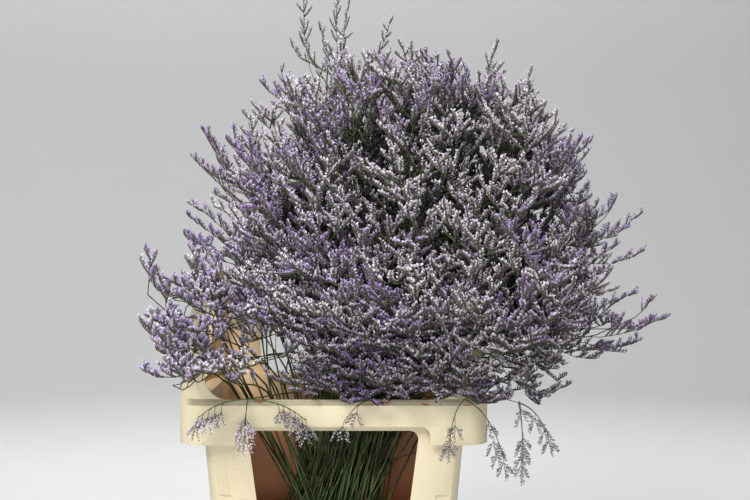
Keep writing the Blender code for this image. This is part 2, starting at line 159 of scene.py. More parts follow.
form = bmesh.new()
turns = [math.radians(90) * step / SWEEP_STEPS for step in range(SWEEP_STEPS + 1)]
sweep = [(ROOM_RADIUS - SWEEP_RADIUS * (1 - math.sin(turn)), SWEEP_RADIUS * (1 - math.cos(turn)))
         for turn in turns]
profile = [(0.0, 0.0)] + sweep + [(ROOM_RADIUS, ROOM_HEIGHT)]
line = [form.verts.new((radius, 0.0, height)) for radius, height in profile]
edges = [form.edges.new(pair) for pair in zip(line, line[1:])]
bmesh.ops.spin(form, geom=line + edges, cent=(0, 0, 0), axis=(0, 0, 1), angle=math.tau, steps=ROOM_STEPS)
bmesh.ops.remove_doubles(form, verts=form.verts, dist=0.0005)
bmesh.ops.recalc_face_normals(form, faces=form.faces)
floor_mesh = bpy.data.meshes.new("studio_floor")
form.to_mesh(floor_mesh)
form.free()
floor_mesh.shade_smooth()
floor = bpy.data.objects.new("studio_floor", floor_mesh)
bpy.context.scene.collection.objects.link(floor)
paper, paper_shader, board, place = new_finish("pale paper", Roughness=0.95)
plug(paper_shader, "Base Color", noise(board, place, 1.3, 2.0).step(0.2, 0.8).mix(
    FLOOR_GREY, [tone * FLOOR_SHADE for tone in FLOOR_GREY]))
floor_mesh.materials.append(paper)

# name: place, where it points, size across and up, watts, colour
LAMPS = {
    "key": ((-0.85, -1.95, 1.85), (0.05, 0.0, 0.48), (1.0, 0.7), 51, (1.0, 0.985, 0.96)),
    "fill": ((0.10, -2.4, 0.40), (0.0, 0.0, 0.28), (1.6, 0.5), 20, (0.97, 0.98, 1.0)),
    "top": ((0.1, 0.1, 2.4), (0.1, 0.0, 0.5), (1.0, 0.8), 5, (1.0, 1.0, 1.0)),
    "wall": ((-0.6, 2.3, 3.4), (-0.6, 4.3, 0.9), (4.5, 0.6), 64, (0.98, 0.99, 1.0)),
    "floor_glow": ((0.0, 1.0, 1.5), (0.0, 1.1, 0.0), (3.4, 0.3), 30, (0.96, 0.99, 1.0)),
}
for name, (spot, aim, size, watts, colour) in LAMPS.items():
    lamp = bpy.data.lights.new(name, "AREA")
    lamp.shape = "RECTANGLE"
    lamp.size, lamp.size_y = size
    lamp.energy = watts
    lamp.color = colour
    holder = bpy.data.objects.new(name, lamp)
    holder.location = spot
    holder.visible_camera = False
    holder.rotation_euler = (Vector(aim) - Vector(spot)).to_track_quat("-Z", "Y").to_euler()
    bpy.context.scene.collection.objects.link(holder)

world = bpy.data.worlds.new("studio air")
world.use_nodes = True
world.node_tree.nodes["Background"].inputs["Color"].default_value = WORLD_COLOUR
world.node_tree.nodes["Background"].inputs["Strength"].default_value = WORLD_STRENGTH
bpy.context.scene.world = world
bpy.context.scene.view_settings.view_transform = "Standard"

camera_data = bpy.data.cameras.new("camera")
camera_data.lens = CAMERA_LENS
camera_data.sensor_width = CAMERA_SENSOR
camera = bpy.data.objects.new("camera", camera_data)
camera.location = CAMERA_PLACE
camera.rotation_euler = (math.radians(90), 0.0, 0.0)
bpy.context.scene.collection.objects.link(camera)
bpy.context.scene.camera = camera

# The bucket
# The crate's lower tub, moulded in thick cream plastic, with a flange round its mouth that takes the collar.
# It has stood in many markets: the plastic is scuffed and specked, and its edges are worn round.
RIM_HALF = Vector((0.200, 0.150))
RIM_HEIGHT = 0.360
SEAT_HEIGHT = 0.165
WALL = 0.004
GAP = 0.0003
COLLAR_FOOT = Vector((0.157, 0.124))
BUCKET_FOOT = Vector((0.134, 0.100))
CORNER = 0.024
FLANGE = Vector((0.006, 0.006))
FLANGE_DROP = 0.015
LIP_HEIGHT = 0.007
SEAT_PLAY = Vector((0.003, 0.003))
MOUTH_INSET = Vector((0.001, 0.001))
CUT_PAST = 0.02
ROUND_STEPS = 8
BUCKET_EDGE = 0.0010
SHARP_FROM = math.radians(32)
BEVEL_FROM = math.radians(38)
CREAM = (0.745, 0.660, 0.458)
CREAM_WORN = (0.70, 0.60, 0.40)
CREAM_STAIN = (0.50, 0.41, 0.27)
# the darker colour painted along the rim's top edge
RIM_EDGE_DARK = (0.30, 0.255, 0.165)
# painted light on the plastic's inner faces: peach for warm bounced light near the rim, brown for painted
# shade deeper in
PAINTED_BOUNCE_PEACH = (0.94, 0.69, 0.41)
PAINTED_SHADE_BROWN = (0.74, 0.31, 0.15)
CHIP_BROWN = (0.30, 0.085, 0.020)
RIM_LINE = RIM_HEIGHT - 0.0056, RIM_HEIGHT - 0.0051
RIM_TOP = RIM_HEIGHT + 0.0025, RIM_HEIGHT + 0.0035


def cream_plastic(name):
    """Cream plastic outside. Its inner faces are painted peach for warm bounced light, falling to a
    painted-shade brown lower down, and the rim's top edge is painted darker and chipped.
    """
    finish, shader, board, place = new_finish(name, Specular_IOR_Level=0.35)
    axes = board.node("SeparateXYZ", None, {"Vector": place})
    across, depth, height = (Wire(axes.tree, axes.socket.node.outputs[n]) for n in range(3))
    normal = board.node("NewGeometry", out=1)
    facing = board.node("VectorMath", {"operation": "MULTIPLY"}, {0: normal, 1: (1.0, 1.0, 0.0)})
    inward = board.node("VectorMath", {"operation": "DOT_PRODUCT"}, {0: facing, 1: place}, out=1)
    inner = 1 - inward.step(-0.022, -0.010)

    cloud = noise(board, place, 7.0, 4.0)
    worn = cloud.step(0.42, 0.78).mix(CREAM, CREAM_WORN)
    specks = noise(board, place, 210.0, 2.0).step(0.70, 0.76) * noise(board, place, 9.0).step(0.46, 0.60)
    scratches = noise(board, place, 34.0, 2.0, 0.4, (1.0, 1.0, 9.0)).step(0.685, 0.72)
    scratches = scratches * noise(board, place, 13.0).step(0.52, 0.62)
    marked = (specks * 0.8 + scratches * 0.55).math("MINIMUM", 1.0).mix(worn, CREAM_STAIN)
    # Inner faces are painted: peach for warm bounced light near the rim, darkening with depth to a
    # painted-shade brown.
    painted_depth_shade = height.step(0.36, 0.27)
    painted_inner_glow = (painted_depth_shade * 0.9 + (cloud - 0.5) * 0.3).math("MINIMUM", 1.0, clamp=True).mix(PAINTED_BOUNCE_PEACH, PAINTED_SHADE_BROWN)
    coat = inner.mix(marked, painted_inner_glow)
    edge = height.step(*RIM_LINE) * (1 - height.step(*RIM_TOP))
    edge = edge * (1 - depth.step(-0.142, -0.128)) * (1 - across.math("ABSOLUTE").step(0.176, 0.192))
    chips = edge * noise(board, place, 90.0, 2.0, 0.5, (0.7, 1.0, 1.6)).step(0.575, 0.60)
    chips = chips * noise(board, place, 13.0).step(0.46, 0.51)
    # The rim's top few millimetres are painted darker, in noisy patches.
    darker_edge = edge * (noise(board, place, 17.0).step(0.3, 0.7) * 0.3 + 0.68)
    coat = darker_edge.mix(coat, RIM_EDGE_DARK)
    plug(shader, "Base Color", chips.mix(coat, CHIP_BROWN))
    plug(shader, "Roughness", cloud * 0.22 + 0.33 + scratches * 0.2)
    bump = board.node("Bump", None, {"Height": noise(board, place, 420.0, 2.0) + scratches * -0.8,
                                     "Strength": 0.12, "Distance": 0.0006})
    plug(shader, "Normal", bump)
    return finish


def block(name, group, low_half, high_half, low, high, corner, along="Z", centre=(0.0, 0.0)):
    """A box whose foot and top may differ in size, with the edges that run along one axis rounded."""
    form = bmesh.new()
    bmesh.ops.create_cube(form, size=2)
    for vertex in form.verts:
        half = high_half if vertex.co.z > 0 else low_half
        vertex.co.x = vertex.co.x * half[0] + centre[0]
        vertex.co.y = vertex.co.y * half[1] + centre[1]
        vertex.co.z = high if vertex.co.z > 0 else low
    axis = "XYZ".index(along)
    rounded = []
    for edge in form.edges:
        run = edge.verts[1].co - edge.verts[0].co
        if max(range(3), key=lambda i: abs(run[i])) == axis:
            rounded.append(edge)
    bmesh.ops.bevel(form, geom=rounded, offset=corner, segments=ROUND_STEPS, profile=0.5, affect="EDGES")
    mesh = bpy.data.meshes.new(name)
    form.to_mesh(mesh)
    form.free()
    item = bpy.data.objects.new(name, mesh)
    group.objects.link(item)
    return item


def shape_by(target, operation, tool):
    step = target.modifiers.new(operation.title(), "BOOLEAN")
    step.operation = operation
    step.solver = "EXACT"
    step.operand_type = "COLLECTION"
    step.collection = tool


def tool_box(name):
    group = bpy.data.collections.new(name)
    bpy.context.scene.collection.children.link(group)
    return group


def moulded(item, tools, finish, softness):
    """Applies a moulding's Booleans, rounds its edges a little, adds its plastic and removes the tools."""
    rounding = item.modifiers.new("Bevel", "BEVEL")
    rounding.width = softness
    rounding.segments = 2
    rounding.limit_method = "ANGLE"
    rounding.angle_limit = BEVEL_FROM
    graph = bpy.context.evaluated_depsgraph_get()
    mesh = bpy.data.meshes.new_from_object(item.evaluated_get(graph))
    item.modifiers.clear()
    item.data = mesh
    mesh.shade_smooth()
    mesh.set_sharp_from_angle(angle=SHARP_FROM)
    mesh.materials.clear()
    mesh.materials.append(finish)
    for group in tools:
        for tool in list(group.objects):
            bpy.data.objects.remove(tool, do_unlink=True)
        bpy.data.collections.remove(group)


scene_root = bpy.context.scene.collection
crate_plastic = cream_plastic("cream plastic")
seat = COLLAR_FOOT + SEAT_PLAY
mouth = COLLAR_FOOT - MOUTH_INSET
inset = Vector((WALL, WALL))
adds, cuts = tool_box("bucket adds"), tool_box("bucket cuts")
tub = block("crate_bucket", scene_root, BUCKET_FOOT, mouth, 0.0, SEAT_HEIGHT, CORNER)
brim = seat + FLANGE
block("flange", adds, brim, brim, SEAT_HEIGHT - FLANGE_DROP, SEAT_HEIGHT + LIP_HEIGHT, CORNER)
block("hollow", cuts, BUCKET_FOOT - inset, mouth - inset, WALL, SEAT_HEIGHT + CUT_PAST, CORNER - WALL)
block("seat", cuts, seat, seat, SEAT_HEIGHT, SEAT_HEIGHT + CUT_PAST, CORNER - WALL)
shape_by(tub, "UNION", adds)
shape_by(tub, "DIFFERENCE", cuts)
moulded(tub, (adds, cuts), crate_plastic, BUCKET_EDGE)
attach(tub, "root")
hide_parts("bucket")

# The collar
# The crate's upper frame, one cream moulding that stands in the bucket's mouth.
# It has a window in its front, a deep band round the rim, and two leaning arches to lift it by.
BAND_HEIGHT = 0.056
BAND_CORNER = 0.034
ARCH_HEIGHT = 0.522
ARCH_CORNER = 0.032
ARCH_LEAN = Vector((0.016, 0.024))
CUT_REACH = 0.03
BEAD = 0.002
HAND_HALF = 0.075
HAND_FOOT, HAND_HEAD = 0.367, 0.504
HAND_CORNER = 0.020
THROUGH = 0.4
WALL_TOP_INSET = Vector((0.026, 0.014))
ARCH_INSET = Vector((0.001, 0.001))
FRONT_LEG, BACK_LEG = 0.020, 0.060
LEG_CORNER = 0.030
OPEN_SIDE = 0.06
WINDOW_FOOT, WINDOW_HEAD = 0.195, 0.320
WINDOW_FOOT_HALF, WINDOW_HEAD_HALF = 0.095, 0.111
WINDOW_CORNER = 0.013
NOTCH_HALF, NOTCH_HEAD, NOTCH_CORNER = 0.124, 0.3275, 0.012
REST_HALF = (0.011, 0.0075)
REST_PLACE, REST_OUT, REST_HEAD, REST_CORNER = 0.143, 0.0055, 0.236, 0.002
COLLAR_EDGE = 0.0009

adds, cuts, skirt = tool_box("collar adds"), tool_box("collar cuts"), tool_box("collar skirt")
wall_top = RIM_HALF - WALL_TOP_INSET
band_foot = RIM_HEIGHT - BAND_HEIGHT
collar = block("crate_collar", scene_root, RIM_HALF, RIM_HALF, band_foot, RIM_HEIGHT, BAND_CORNER)
block("skirt_hollow", skirt, RIM_HALF - inset, RIM_HALF - inset, band_foot - CUT_REACH, RIM_HEIGHT - WALL,
      BAND_CORNER - WALL)
block("wall", adds, COLLAR_FOOT, wall_top, SEAT_HEIGHT + GAP, RIM_HEIGHT - WALL / 2, CORNER)
arch_foot = RIM_HALF - ARCH_INSET
arch_top = RIM_HALF - ARCH_LEAN
block("arches", adds, arch_foot, arch_top, RIM_HEIGHT - WALL * 0.7, ARCH_HEIGHT, ARCH_CORNER)
slope = (wall_top - COLLAR_FOOT) / (RIM_HEIGHT - SEAT_HEIGHT)
block("wall_hollow", cuts, COLLAR_FOOT - inset - slope * CUT_REACH, wall_top - inset + slope * CUT_REACH,
      SEAT_HEIGHT - CUT_REACH, RIM_HEIGHT + CUT_REACH, CORNER - WALL)
lean = (arch_top - arch_foot) / (ARCH_HEIGHT - RIM_HEIGHT)
block("arch_hollow", cuts, arch_foot - inset, arch_top - inset + lean * CUT_REACH, RIM_HEIGHT + BEAD / 4,
      ARCH_HEIGHT + CUT_REACH, ARCH_CORNER - WALL)
block("window", cuts, (WINDOW_FOOT_HALF, RIM_HALF.y / 2), (WINDOW_HEAD_HALF, RIM_HALF.y / 2), WINDOW_FOOT,
      WINDOW_HEAD, WINDOW_CORNER, along="Y", centre=(0.0, -RIM_HALF.y))
notch_in, notch_out = wall_top.y + WALL * 0.85, RIM_HALF.y + BEAD
notch = (NOTCH_HALF, (notch_out - notch_in) / 2)
block("notch", cuts, notch, notch, band_foot - CUT_REACH, NOTCH_HEAD, NOTCH_CORNER, along="Y",
      centre=(0.0, -(notch_in + notch_out) / 2))
for side in (-1, 1):
    leg = FRONT_LEG if side < 0 else BACK_LEG
    above = (RIM_HALF.x - ARCH_LEAN.x - leg, OPEN_SIDE)
    block("long_side", cuts, above, above, RIM_HEIGHT + BEAD, ARCH_HEIGHT + OPEN_SIDE, LEG_CORNER, along="Y",
          centre=(0.0, side * (RIM_HALF.y - ARCH_LEAN.y / 2)))
    for end in (-1, 1):
        block("rest", cuts, REST_HALF, REST_HALF, SEAT_HEIGHT - 0.01, REST_HEAD, REST_CORNER, along="Y",
              centre=(end * REST_PLACE, side * (COLLAR_FOOT.y + slope.y * 0.05 + REST_OUT)))
hand_hole = (THROUGH, HAND_HALF)
block("hand_holes", cuts, hand_hole, hand_hole, HAND_FOOT, HAND_HEAD, HAND_CORNER, along="X")
shape_by(collar, "DIFFERENCE", skirt)
shape_by(collar, "UNION", adds)
shape_by(collar, "DIFFERENCE", cuts)
moulded(collar, (adds, cuts, skirt), crate_plastic, COLLAR_EDGE)
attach(collar, "root")
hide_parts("collar")

# The crown's sprays
# Each is a stiff green stem that forks into curved arms, whose short side twigs carry rows of papery florets.
# All the stems stand on the bucket's floor, draw together in the crate's neck and fan out over the rim.
UP = Vector((0.0, 0.0, 1.0))
LEAN_START = -0.030
LEAN = 0.21
HUB_HEIGHT = 0.420
HUB = Vector((LEAN_START + LEAN * HUB_HEIGHT, 0.0, HUB_HEIGHT))
CROWN_CENTRE = Vector((0.120, 0.0, 0.565))
CROWN_HALF = Vector((0.290, 0.255, 0.300))
CROWN_DROP = 0.262
CROWN_ROUNDNESS = 2.5
CROWN_FLOOR = 0.357
FAN_RADIUS = 0.110
FLOOR_SPREAD, NECK_SPREAD, KNEE_SPREAD = 0.076, 0.056, 0.064
FOOT_HEIGHT = WALL + GAP + 0.002
NECK_HEIGHT, KNEE_HEIGHT = 0.270, 0.365
ARMS = 405
SKIRT_ARMS = 290
ARM_BLOOM = 0.060
BRANCHED_LENGTH = 0.150
BRANCHES = 4
BRANCH_LENGTH = 0.056
COVER_BRANCH = 0.050
INNER_BRANCHES = 2
COMB_TWIGS = 4
COMB_RISE = 0.45
TWIG_LENGTH = 0.026
BRANCH_TWIG_LENGTH = 0.0255
COMPANIONS = 4
COMPANION_POINTS = 6
COMPANION_DRIFT = Vector((-0.030, 0.0, 0.0))
WISPS = 3
WISP_PULL = Vector((0.35, -0.2, 0.2))
WISP_BLOOM = 0.42
FOOT_ROOM = BUCKET_FOOT - Vector((0.012, 0.012))
# how thick each kind of stem is where it starts and where it ends
TRUNK = (0.0015, 0.0009)
ARM = (0.0010, 0.00050)
BRANCH = (0.00075, 0.00045)
SPIKE = (0.00145, 0.00065)
COMPANION = (0.0013, 0.0009)
WISP = (0.00075, 0.00035)
# how far arms, twigs, companions and wisps keep from the collar
ARM_GAP, TWIG_GAP, STEM_GAP, WISP_GAP = 0.004, 0.006, 0.002, 0.003
GOLDEN_ANGLE = math.pi * (3 - math.sqrt(5))
FLORET_PITCH = 0.00188
FLORET_LENGTH = 0.0088
FLORET_HALF = 0.27
FLORET_CORNERS = (0.66, 0.74, 1.0)
MOUTH_SHARES = (0.0, 0.72, 0.80, 1.0)
BARE_BELOW = 0.3
SEED = 41
# the crown's outline: no arms by the left arch or far out at the right, and a top that leans back
CLEAR_WEST, CLEAR_LOW = -0.045, 0.455
EAST_START, EAST_SLOPE = 0.285, 1.1
CREST_FOOT, CREST_RISE = 0.62, 0.20
CREST_BACK, CREST_LIFT = 0.022, 0.012
EAST_TRIM, EAST_FROM = 0.07, 0.6
# the shares of the crown's reach at which arms end: one in five deep, the others farther, at the rim farthest
INNER_EVERY = 5
INNER_LAYER, OUTER_LAYER, RIM_LAYER = (0.68, 0.80), (0.82, 0.92), (0.94, 1.02)
RIM_TIPS = 0.395
BEND_TRIES = 4
# places that one arm each has to reach: round the right arch's leg, just over the rim, in the crown's gaps
COVERED = ((0.160, -0.174, 0.520), (0.172, -0.172, 0.503), (0.150, -0.172, 0.538), (0.142, -0.172, 0.506),
           (0.150, -0.174, 0.392), (0.135, -0.174, 0.382), (0.166, -0.176, 0.398), (0.112, -0.172, 0.384),
           (0.205, 0.020, 0.684), (0.228, -0.040, 0.702), (0.280, 0.020, 0.594), (0.292, -0.030, 0.612),
           (0.235, 0.060, 0.660))
COVER_WAY = Vector((1.0, -0.15, 0.10)).normalized()
COVER_STEP = Vector((0.075, 0.0, 0.0))
# sprays that rise steeper than this also flower inside the crown, which closes it as seen from above
STEEP, LESS_STEEP = 0.30, -0.05
STEEP_SHARES, LESS_STEEP_SHARES = (0.50, 0.64), (0.60,)
INNER_START, INNER_SPREAD = 0.32, 0.035

GREEN_DEEP = (0.024, 0.038, 0.014)
GREEN_DRY = (0.145, 0.195, 0.072)
BRACT_GREEN = (0.095, 0.095, 0.065)
SPIKE_OLIVE = (0.165, 0.165, 0.108)
SPIKE_BROWN = (0.078, 0.058, 0.066)
LILAC = (0.580, 0.440, 0.840)
PURPLE = (0.360, 0.180, 0.560)
PAPER_WHITE = (0.950, 0.870, 0.990)
# the dull dark colour that painted shade brings florets and stem scales to deep in the crown
CROWN_SHADE_DARK = (0.09, 0.09, 0.08)
PALE_SHARE, LILAC_SHARE = 0.30, 0.22


def crown_shade_mask(board, place):
    """1 where florets and stems are painted dark and dull for the shade deep in the crown and under it, and 0
    on its outside.
    """
    axes = board.node("SeparateXYZ", None, {"Vector": place})
    across, height = axes, Wire(axes.tree, axes.socket.node.outputs[2])
    offset = board.node("VectorMath", {"operation": "SUBTRACT"}, {0: place, 1: CROWN_CENTRE})
    shares = [1 / half for half in CROWN_HALF]
    offset = board.node("VectorMath", {"operation": "MULTIPLY"}, {0: offset, 1: shares})
    depth = board.node("VectorMath", {"operation": "LENGTH"}, {0: offset}, out=1)
    low = height.step(0.52, 0.38) * across.step(-0.12, -0.02)
    return (low * 0.62 + depth.step(0.93, 0.62) * 0.95).math("MINIMUM", 1.0)


def painted_crown_shade(board, place, colour):
    """A colour darkened to a dull dark one deep in the crown: painted shade."""
    return board.node("Mix", {"data_type": "RGBA", "blend_type": "MULTIPLY"},
                      {0: crown_shade_mask(board, place), 6: colour, 7: (*CROWN_SHADE_DARK, 1.0)}, out=2)


def stem_green():
    """Dry stems, dark green with yellower stretches, and scaly brown and olive where they flower, darkened by
    painted shade deep in the crown.
    """
    finish, shader, board, place = new_finish("dry stem", Roughness=0.62, Specular_IOR_Level=0.3)
    streaks = noise(board, place, 160.0, 2.0, 0.5, (1.0, 1.0, 0.12))
    patches = noise(board, place, 14.0)
    shade = (streaks * 0.5 + patches * 0.5).step(0.38, 0.66)
    flowering = board.node("Attribute", {"attribute_name": "bloom"}, out=2).step(0.1, 0.4)
    scales = noise(board, place, 420.0, 1.0).step(0.40, 0.60).mix(SPIKE_BROWN, SPIKE_OLIVE)
    scales = painted_crown_shade(board, place, scales)
    plug(shader, "Base Color", flowering.mix(shade.mix(GREEN_DEEP, GREEN_DRY), scales))
    plug(shader, "Normal", board.node("Bump", None, {"Height": streaks, "Strength": 0.3, "Distance": 0.0004}))
    return finish


def floret_paper(name, white):
    """Papery florets: green at the foot, then purple, lilac or nearly white at the mouth, darkened by painted
    shade deep in the crown.
    """
    finish, shader, board, place = new_finish(name, Roughness=0.85, Specular_IOR_Level=0.25)
    tone, hue, mouth = (board.node("Attribute", {"attribute_name": trait}, out=2)
                        for trait in ("tone", "hue", "mouth"))
    drift = noise(board, place, 5.0, 2.0)
    pale = (tone * 0.25 + hue * 0.55 + drift * 0.5).step(0.72 - white, 1.02 - white)
    deep = (noise(board, place, 9.0) * 0.8 - hue * 0.5 + tone * 0.2).step(0.22, 0.50)
    petal = pale.mix(deep.mix(LILAC, PURPLE), PAPER_WHITE)
    coat = mouth.step(0.25, 0.98).mix(BRACT_GREEN, petal)
    plug(shader, "Base Color", painted_crown_shade(board, place, coat))
    return finish


def floret_form():
    """One floret: a narrow green foot that widens to a slanting, pointed papery mouth."""
    form = bmesh.new()
    foot = form.verts.new((0.0, 0.0, 0.0))
    ring = []
    for corner, height in enumerate(FLORET_CORNERS):
        turn = math.tau * corner / 3
        ring.append(form.verts.new((math.cos(turn) * FLORET_HALF, math.sin(turn) * FLORET_HALF, height)))
    for corner in range(3):
        form.faces.new((foot, ring[(corner + 1) % 3], ring[corner]))
    form.faces.new(ring)
    mesh = bpy.data.meshes.new("floret")
    form.to_mesh(mesh)
    form.free()
    mouth_share = mesh.attributes.new("mouth", "FLOAT", "POINT")
    mouth_share.data.foreach_set("value", MOUTH_SHARES)
    return bpy.data.objects.new("floret", mesh)


def spray_tree():
    """Geometry nodes that give twigs their thickness and set florets along their flowering lengths."""
    tree = bpy.data.node_groups.new("statice spray", "GeometryNodeTree")
    face = tree.interface
    face.new_socket("Geometry", in_out="OUTPUT", socket_type="NodeSocketGeometry")
    sockets = {"Geometry": "NodeSocketGeometry", "Floret": "NodeSocketObject", "Pitch": "NodeSocketFloat",
               "Floret Length": "NodeSocketFloat", "Seed": "NodeSocketInt", "Stem": "NodeSocketMaterial",
               "Petal": "NodeSocketMaterial"}
    for name, kind in sockets.items():
        face.new_socket(name, in_out="INPUT", socket_type=kind)
    given = tree.nodes.new("NodeGroupInput")

    def add(kind, settings=None, **links):
        """Adds a node. A link's name is its socket's, or n and the socket's number."""
        made = tree.nodes.new(kind)
        for name, value in (settings or {}).items():
            setattr(made, name, value)
        for name, value in links.items():
            if name[0] == "n" and name[1:].isdigit():
                socket = made.inputs[int(name[1:])]
            else:
                socket = next(s for s in made.inputs if s.enabled and s.name == name.replace("_", " "))
            if isinstance(value, bpy.types.NodeSocket):
                tree.links.new(value, socket)
            else:
                socket.default_value = value
        return made

    def trait(name):
        return add("GeometryNodeInputNamedAttribute", {"data_type": "FLOAT"}, Name=name).outputs["Attribute"]

    def vector(operation, *terms):
        links = {f"n{number}": term for number, term in enumerate(terms)}
        return add("ShaderNodeVectorMath", {"operation": operation}, **links).outputs[0]

    def scaled(term, by):
        return add("ShaderNodeVectorMath", {"operation": "SCALE"}, n0=term, Scale=by).outputs[0]

    def number(operation, *terms):
        links = {f"n{place}": term for place, term in enumerate(terms)}
        return add("ShaderNodeMath", {"operation": operation}, **links).outputs[0]

    def draw(low, high, offset):
        seed = number("ADD", given.outputs["Seed"], float(offset))
        return add("FunctionNodeRandomValue", {"data_type": "FLOAT"}, n2=low, n3=high, Seed=seed).outputs[1]

    paths = add("GeometryNodeMeshToCurve", Mesh=given.outputs["Geometry"]).outputs[0]
    ring = add("GeometryNodeCurvePrimitiveCircle", Resolution=3, Radius=1.0).outputs[0]
    twigs = add("GeometryNodeCurveToMesh", Curve=paths, Profile_Curve=ring, Scale=trait("thickness"),
                Fill_Caps=True).outputs[0]
    twigs = add("GeometryNodeSetShadeSmooth", Geometry=twigs, Shade_Smooth=True).outputs[0]
    twigs = add("GeometryNodeSetMaterial", Geometry=twigs, Material=given.outputs["Stem"]).outputs[0]

    pitch = given.outputs["Pitch"]
    spaced = add("GeometryNodeResampleCurve", {"mode": "LENGTH"}, Curve=paths, Length=pitch).outputs[0]
    spots = add("GeometryNodeCurveToPoints", {"mode": "EVALUATED"}, Curve=spaced)
    run = spots.outputs["Tangent"]
    side = vector("NORMALIZE", vector("CROSS_PRODUCT", run, (0.0, 0.0, 1.0)))
    over = vector("CROSS_PRODUCT", side, run)
    odd = number("MODULO", add("GeometryNodeInputIndex").outputs[0], 2.0)
    sway = number("ADD", number("MULTIPLY_ADD", odd, 1.0, -0.50), draw(-0.25, 0.25, 1))
    way = vector("ADD", scaled(run, draw(0.45, 0.85, 3)), scaled(side, sway))
    way = vector("ADD", way, scaled(over, draw(0.60, 1.15, 2)))
    aimed = add("FunctionNodeAlignRotationToVector", {"axis": "Z"}, Vector=way).outputs[0]
    angle = draw(0.0, math.tau, 4)
    spin = add("FunctionNodeAxisAngleToRotation", Axis=(0.0, 0.0, 1.0), Angle=angle).outputs[0]
    turned = add("FunctionNodeRotateRotation", {"rotation_space": "LOCAL"}, Rotation=aimed, Rotate_By=spin)
    turned = turned.outputs[0]
    size = number("MULTIPLY", trait("bloom"), draw(0.72, 1.15, 5))
    size = number("MULTIPLY", size, given.outputs["Floret Length"])
    flowering = add("FunctionNodeCompare", {"data_type": "FLOAT", "operation": "GREATER_THAN"},
                    n0=trait("bloom"), n1=BARE_BELOW).outputs[0]
    cup = add("GeometryNodeObjectInfo", Object=given.outputs["Floret"], As_Instance=True).outputs["Geometry"]
    florets = add("GeometryNodeInstanceOnPoints", Points=spots.outputs["Points"], Selection=flowering,
                  Instance=cup, Rotation=turned, Scale=size).outputs[0]
    florets = add("GeometryNodeStoreNamedAttribute", {"data_type": "FLOAT", "domain": "INSTANCE"},
                  Geometry=florets, Name="tone", Value=draw(0.0, 1.0, 6)).outputs[0]
    florets = add("GeometryNodeRealizeInstances", Geometry=florets).outputs[0]
    florets = add("GeometryNodeSetMaterial", Geometry=florets, Material=given.outputs["Petal"]).outputs[0]
    both = tree.nodes.new("GeometryNodeJoinGeometry")
    tree.links.new(florets, both.inputs[0])
    tree.links.new(twigs, both.inputs[0])
    tree.links.new(both.outputs[0], tree.nodes.new("NodeGroupOutput").inputs[0])
    return tree


class Bones:
    """A spray's twigs as polylines, with each point's thickness, floret size and paleness."""

    def __init__(self):
        self.points, self.edges = [], []
        self.traits = {"thickness": [], "bloom": [], "hue": []}

    def twig(self, path, thick, thin, bare=2.0, floret=1.0, hue=0.5):
        """Adds one twig. Its florets start at the share of its length that bare gives."""
        first, last = len(self.points), len(path) - 1
        for number, point in enumerate(path):
            share = number / last
            self.points.append(point)
            self.traits["thickness"].append(thick + (thin - thick) * share)
            self.traits["bloom"].append(0.0 if share < bare else floret * (1.08 - 0.4 * share))
            self.traits["hue"].append(hue)
        self.edges += [(n, n + 1) for n in range(first, first + last)]


def arc(start, way, end, ahead, count):
    """Points of a curve that leaves the start one way and reaches the end going another."""
    pull = (end - start).length * 0.38
    bend = (start, start + way * pull, end - ahead * pull, end)
    points = []
    for number in range(count):
        t = number / (count - 1)
        shares = ((1 - t) ** 3, 3 * t * (1 - t) ** 2, 3 * t * t * (1 - t), t ** 3)
        points.append(sum((p * share for p, share in zip(bend, shares)), Vector()))
    return points


def path_length(path):
    return sum((b - a).length for a, b in zip(path, path[1:]))


def along(path, share):
    """The direction and place at a share of a path's points."""
    spot = min(share * (len(path) - 1), len(path) - 1.001)
    low = int(spot)
    return (path[low + 1] - path[low]).normalized(), path[low].lerp(path[low + 1], spot - low)


def jitter(draw, most):
    return Vector([draw.uniform(-most, most) for _ in range(3)])


def clear_of_crate(path, gap=ARM_GAP):
    """Whether a path's points all keep a gap away from the collar."""
    return all(collar_surface.find_nearest(point, gap)[0] is None for point in path)


def comb(bones, path, first, count, longest, draw, hue, size=1.0):
    """Short flowering twigs in two rows, set forward along a path and lifted to its upper side."""
    for number in range(count):
        share = first + (0.96 - first) * number / max(1, count - 1) + draw.uniform(-0.015, 0.015)
        run, root = along(path, min(0.98, max(0.0, share)))
        side = run.cross(UP)
        side = side.normalized() if side.length > 0.05 else Vector((1, 0, 0))
        side = side * (draw.uniform(0.55, 1.0) if number % 2 else -draw.uniform(0.55, 1.0))
        way = run * draw.uniform(0.35, 0.8) + side + UP * draw.uniform(0.0, COMB_RISE * 1.6)
        way = (way + jitter(draw, 0.35)).normalized()
        ahead = (way + UP * COMB_RISE * draw.uniform(0.4, 1.4) + run * 0.35).normalized()
        length = longest * (1.12 - 0.55 * number / count) * draw.uniform(0.75, 1.15)
        tip = root + (way + ahead).normalized() * length
        if clear_of_crate((root, tip), TWIG_GAP):
            bones.twig(arc(root, way, tip, ahead, 3), *SPIKE, 0.12, size, hue + draw.uniform(-0.15, 0.15))


def crown_level(point):
    """Below 1 inside the crown's rounded outline, and above 1 outside it."""
    offset = point - CROWN_CENTRE
    tall = CROWN_HALF.z if offset.z > 0 else CROWN_DROP
    halves = (CROWN_HALF.x, CROWN_HALF.y, tall)
    return sum(abs(part / half) ** CROWN_ROUNDNESS for part, half in zip(offset, halves))


